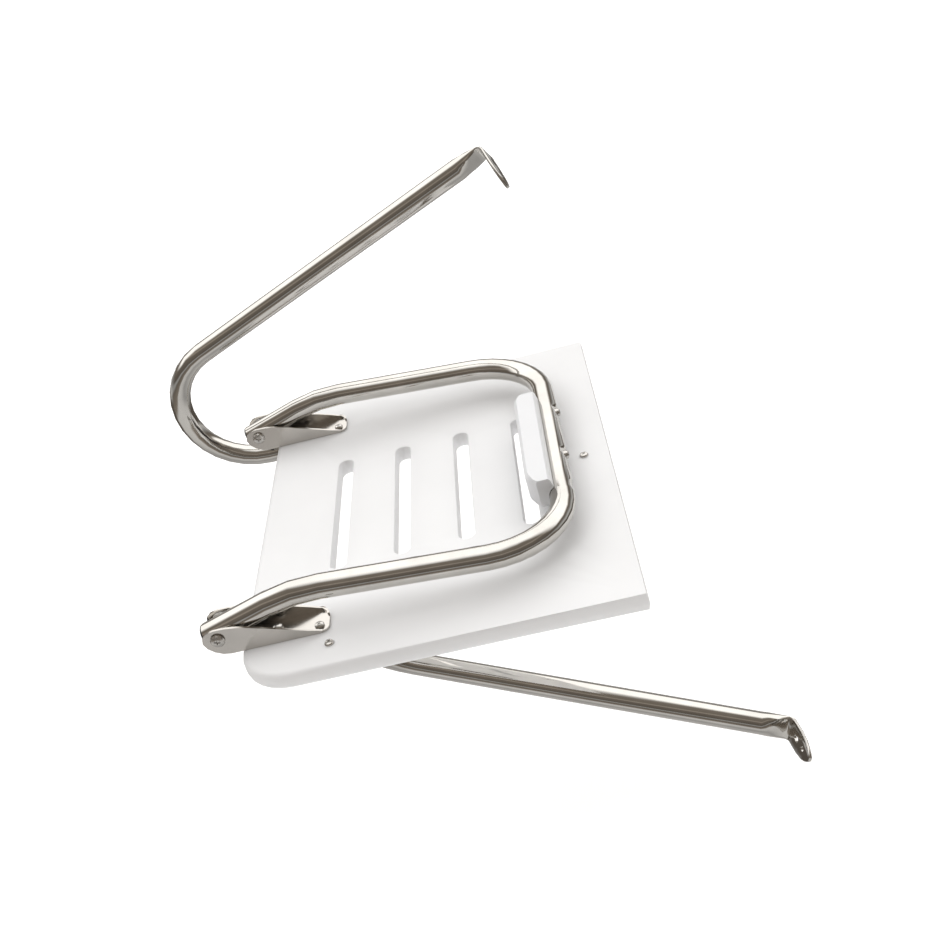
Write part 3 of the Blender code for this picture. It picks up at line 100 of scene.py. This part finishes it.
def steel(name, tint, rough, streak=(1, 1, 1), grain=0.05, smudge=0.05, relief=0.03):
    """Polished stainless: streaky polish, faint smudges, slight waviness."""
    mat, nt, b = tree(name)
    vec = mapping(nt, streak)
    lines = noise(nt, 320.0, 5.0, 0.65, vec)
    free = mapping(nt)
    cloud = noise(nt, 22.0, 4.0, 0.55, free)
    dark = tuple(c * 0.86 for c in tint)
    col = ramp(nt, cloud.outputs["Fac"], ((0.28, dark), (0.62, tint)))
    nt.links.new(col.outputs["Color"], b.inputs["Base Color"])
    b.inputs["Metallic"].default_value = 1.0
    mixer = nt.nodes.new("ShaderNodeMath")
    mixer.operation = "MULTIPLY_ADD"
    nt.links.new(lines.outputs["Fac"], mixer.inputs[0])
    mixer.inputs[1].default_value = grain * 2
    add = nt.nodes.new("ShaderNodeMath")
    add.operation = "MULTIPLY_ADD"
    nt.links.new(cloud.outputs["Fac"], add.inputs[0])
    add.inputs[1].default_value = smudge * 2
    add.inputs[2].default_value = rough - grain - smudge
    nt.links.new(add.outputs[0], mixer.inputs[2])
    nt.links.new(mixer.outputs[0], b.inputs["Roughness"])
    n1 = bump(nt, lines.outputs["Fac"], relief, 0.0003)
    soft = noise(nt, 35.0, 2.0, 0.5, free)
    n2 = bump(nt, soft.outputs["Fac"], relief * 1.2, 0.001, n1)
    nt.links.new(n2, b.inputs["Normal"])
    return mat


board_mat = poly("board_white", (0.79, 0.795, 0.805), 0.46)
step_mat = poly("step_white", (0.77, 0.78, 0.80), 0.38)
nylon_mat = poly("nylon_white", (0.74, 0.74, 0.72), 0.45)
tube_x = steel("tube_polish", (0.64, 0.62, 0.585), 0.09, (1, 1, 1), 0.02, 0.025, 0.004)
sheet_mat = steel("bracket_polish", (0.60, 0.575, 0.54), 0.20, (0.15, 1.0, 1.0), 0.05, 0.05)
fast_mat = steel("fastener_steel", (0.62, 0.60, 0.57), 0.24, (1, 1, 1), 0.05, 0.05)

plug_mat, nt, b = tree("plug_black")
vec = mapping(nt)
sp = noise(nt, 260.0, 4.0, 0.6, vec)
c = ramp(nt, sp.outputs["Fac"], ((0.3, (0.018, 0.018, 0.019)), (0.7, (0.04, 0.04, 0.042))))
nt.links.new(c.outputs["Color"], b.inputs["Base Color"])
b.inputs["Roughness"].default_value = 0.5
nt.links.new(bump(nt, sp.outputs["Fac"], 0.2, 0.0004), b.inputs["Normal"])


def pick(name):
    if name == "platform_board":
        return board_mat
    if name == "ladder_step":
        return step_mat
    if "plug" in name:
        return plug_mat
    if "bush" in name or name.endswith("clamp_upper") or name.endswith("clamp_cap"):
        return nylon_mat
    if "bracket" in name:
        return sheet_mat
    if "screw" in name or "bolt" in name or "nut" in name:
        return fast_mat
    return tube_x


def soften(obj, width, angle=35.0, segments=2):
    """Smooth faces over gentle angles, with a small round on the sharp edges."""
    weld = obj.modifiers.new("weld", "WELD")
    weld.merge_threshold = 0.00001
    if width:
        bev = obj.modifiers.new("edge", "BEVEL")
        bev.width = width
        bev.segments = segments
        bev.limit_method = "ANGLE"
        bev.angle_limit = math.radians(50)
        bev.use_clamp_overlap = True
        bev.harden_normals = False
    split = obj.modifiers.new("split", "EDGE_SPLIT")
    split.use_edge_angle = True
    split.split_angle = math.radians(angle)
    for p in obj.data.polygons:
        p.use_smooth = True


for name, obj in N.items():
    mat = pick(name)
    obj.data.materials.clear()
    obj.data.materials.append(mat)
    for p in obj.data.polygons:
        p.material_index = 0
    if name == "platform_board":
        soften(obj, 0.0, 34.0)
    elif "strut" in name and "plug" not in name or name == "ladder_tube":
        soften(obj, 0.0, 38.0)
    else:
        soften(obj, 0.0, 32.0)

# ---------------------------------------------------------------- camera
rows = (
    (0.96882641, -0.04510219, -0.24360044),
    (-0.22972, -0.53170917, -0.81517733),
    (-0.09275831, 0.84572522, -0.52549476),
)
right, down, fwd = (Vector(r).normalized() for r in rows)
cam_data = bpy.data.cameras.new("camera")
cam_data.sensor_width = 36.0
cam_data.lens = 1234.389 * 36.0 / 950.0
cam_data.clip_start = 0.05
cam_data.clip_end = 60.0
cam = bpy.data.objects.new("camera", cam_data)
up = -down
m = Matrix((
    (right.x, up.x, -fwd.x, 0.17298),
    (right.y, up.y, -fwd.y, -1.13985),
    (right.z, up.z, -fwd.z, 0.71243),
    (0, 0, 0, 1),
))
cam.matrix_world = m
bpy.context.scene.collection.objects.link(cam)
bpy.context.scene.camera = cam
bpy.context.scene.view_settings.view_transform = "Standard"

# ---------------------------------------------------------------- floor
# low enough for a strut or the ladder to hang straight down
bpy.ops.mesh.primitive_plane_add(size=60.0, location=(0, 0, -0.372))
floor = bpy.context.active_object
floor.name = "floor"
fmat, nt, b = tree("floor_white")
vec = mapping(nt)
fn = noise(nt, 1.3, 2.0, 0.5, vec)
fc = ramp(nt, fn.outputs["Fac"], ((0.3, (0.93, 0.93, 0.93)), (0.7, (0.945, 0.945, 0.945))))
nt.links.new(fc.outputs["Color"], b.inputs["Base Color"])
b.inputs["Roughness"].default_value = 0.9
b.inputs["Specular IOR Level"].default_value = 0.1
b.inputs["Emission Color"].default_value = (1, 1, 1, 1)
b.inputs["Emission Strength"].default_value = 0.22
floor.data.materials.append(fmat)
floor.visible_glossy = False

# ---------------------------------------------------------------- light
world = bpy.data.worlds.new("studio")
world.use_nodes = True
bpy.context.scene.world = world
wt = world.node_tree
bg = wt.nodes["Background"]
coord = wt.nodes.new("ShaderNodeTexCoord")
sep = wt.nodes.new("ShaderNodeSeparateXYZ")
wt.links.new(coord.outputs["Generated"], sep.inputs["Vector"])
# height bands of the studio: one set in front of the object, one behind it
height = wt.nodes.new("ShaderNodeMath")
height.operation = "MULTIPLY_ADD"
height.inputs[1].default_value = 0.5
height.inputs[2].default_value = 0.5
wt.links.new(sep.outputs["Z"], height.inputs[0])


def bands(stops):
    node = wt.nodes.new("ShaderNodeValToRGB")
    els = node.color_ramp.elements
    while len(els) < len(stops):
        els.new(0.5)
    for el, (pos, v, warm) in zip(els, stops):
        el.position = pos
        el.color = (v, v * 0.87, v * 0.74, 1) if warm else (v, v * 0.99, v * 0.975, 1)
    wt.links.new(height.outputs[0], node.inputs["Fac"])
    return node


front = bands((
    (0.00, 0.75, 0), (0.10, 0.55, 0), (0.17, 0.85, 0), (0.265, 0.95, 0), (0.30, 0.34, 1), (0.42, 0.22, 1),
    (0.46, 0.50, 0), (0.49, 0.50, 0), (0.52, 0.17, 1), (0.72, 0.24, 1), (0.77, 0.50, 1), (0.82, 0.27, 1),
    (0.93, 0.32, 1), (0.965, 1.10, 0), (1.00, 2.20, 0),
))
back = bands((
    (0.00, 0.75, 0), (0.13, 0.50, 0), (0.22, 0.14, 1), (0.36, 0.16, 1), (0.43, 0.80, 0), (0.50, 0.40, 0),
    (0.56, 0.22, 1), (0.62, 0.30, 1), (0.68, 2.10, 0), (1.00, 2.20, 0),
))
side = wt.nodes.new("ShaderNodeMapRange")
side.interpolation_type = "SMOOTHSTEP"
side.inputs["From Min"].default_value = -0.22
side.inputs["From Max"].default_value = 0.18
wt.links.new(sep.outputs["Y"], side.inputs["Value"])
both = wt.nodes.new("ShaderNodeMix")
both.data_type = "RGBA"
wt.links.new(side.outputs["Result"], both.inputs[0])
wt.links.new(front.outputs["Color"], both.inputs[6])
wt.links.new(back.outputs["Color"], both.inputs[7])
wt.links.new(both.outputs[2], bg.inputs["Color"])
bg.inputs["Strength"].default_value = 0.80
# seen directly, the far wall is plain and pale
wall = wt.nodes.new("ShaderNodeBackground")
wall.inputs["Color"].default_value = (0.93, 0.93, 0.93, 1)
path = wt.nodes.new("ShaderNodeLightPath")
pick_bg = wt.nodes.new("ShaderNodeMixShader")
wt.links.new(path.outputs["Is Camera Ray"], pick_bg.inputs["Fac"])
wt.links.new(bg.outputs["Background"], pick_bg.inputs[1])
wt.links.new(wall.outputs["Background"], pick_bg.inputs[2])
wt.links.new(pick_bg.outputs["Shader"], wt.nodes["World Output"].inputs["Surface"])


def soft(name, loc, target, size, power, colour=(1, 1, 1)):
    data = bpy.data.lights.new(name, "AREA")
    data.shape = "RECTANGLE"
    data.size, data.size_y = size
    data.energy = power
    data.color = colour
    obj = bpy.data.objects.new(name, data)
    obj.location = loc
    obj.rotation_euler = (Vector(target) - Vector(loc)).to_track_quat("-Z", "Y").to_euler()
    bpy.context.scene.collection.objects.link(obj)
    obj.visible_glossy = False
    return obj


soft("key", (-1.4, -1.2, 2.4), (0, 0, 0), (1.1, 1.1), 15)
soft("fill", (2.0, -0.8, 1.5), (0, 0, 0), (0.7, 1.6), 5)
soft("rim", (-0.4, 2.2, 1.7), (0, 0, 0), (2.2, 0.6), 6)
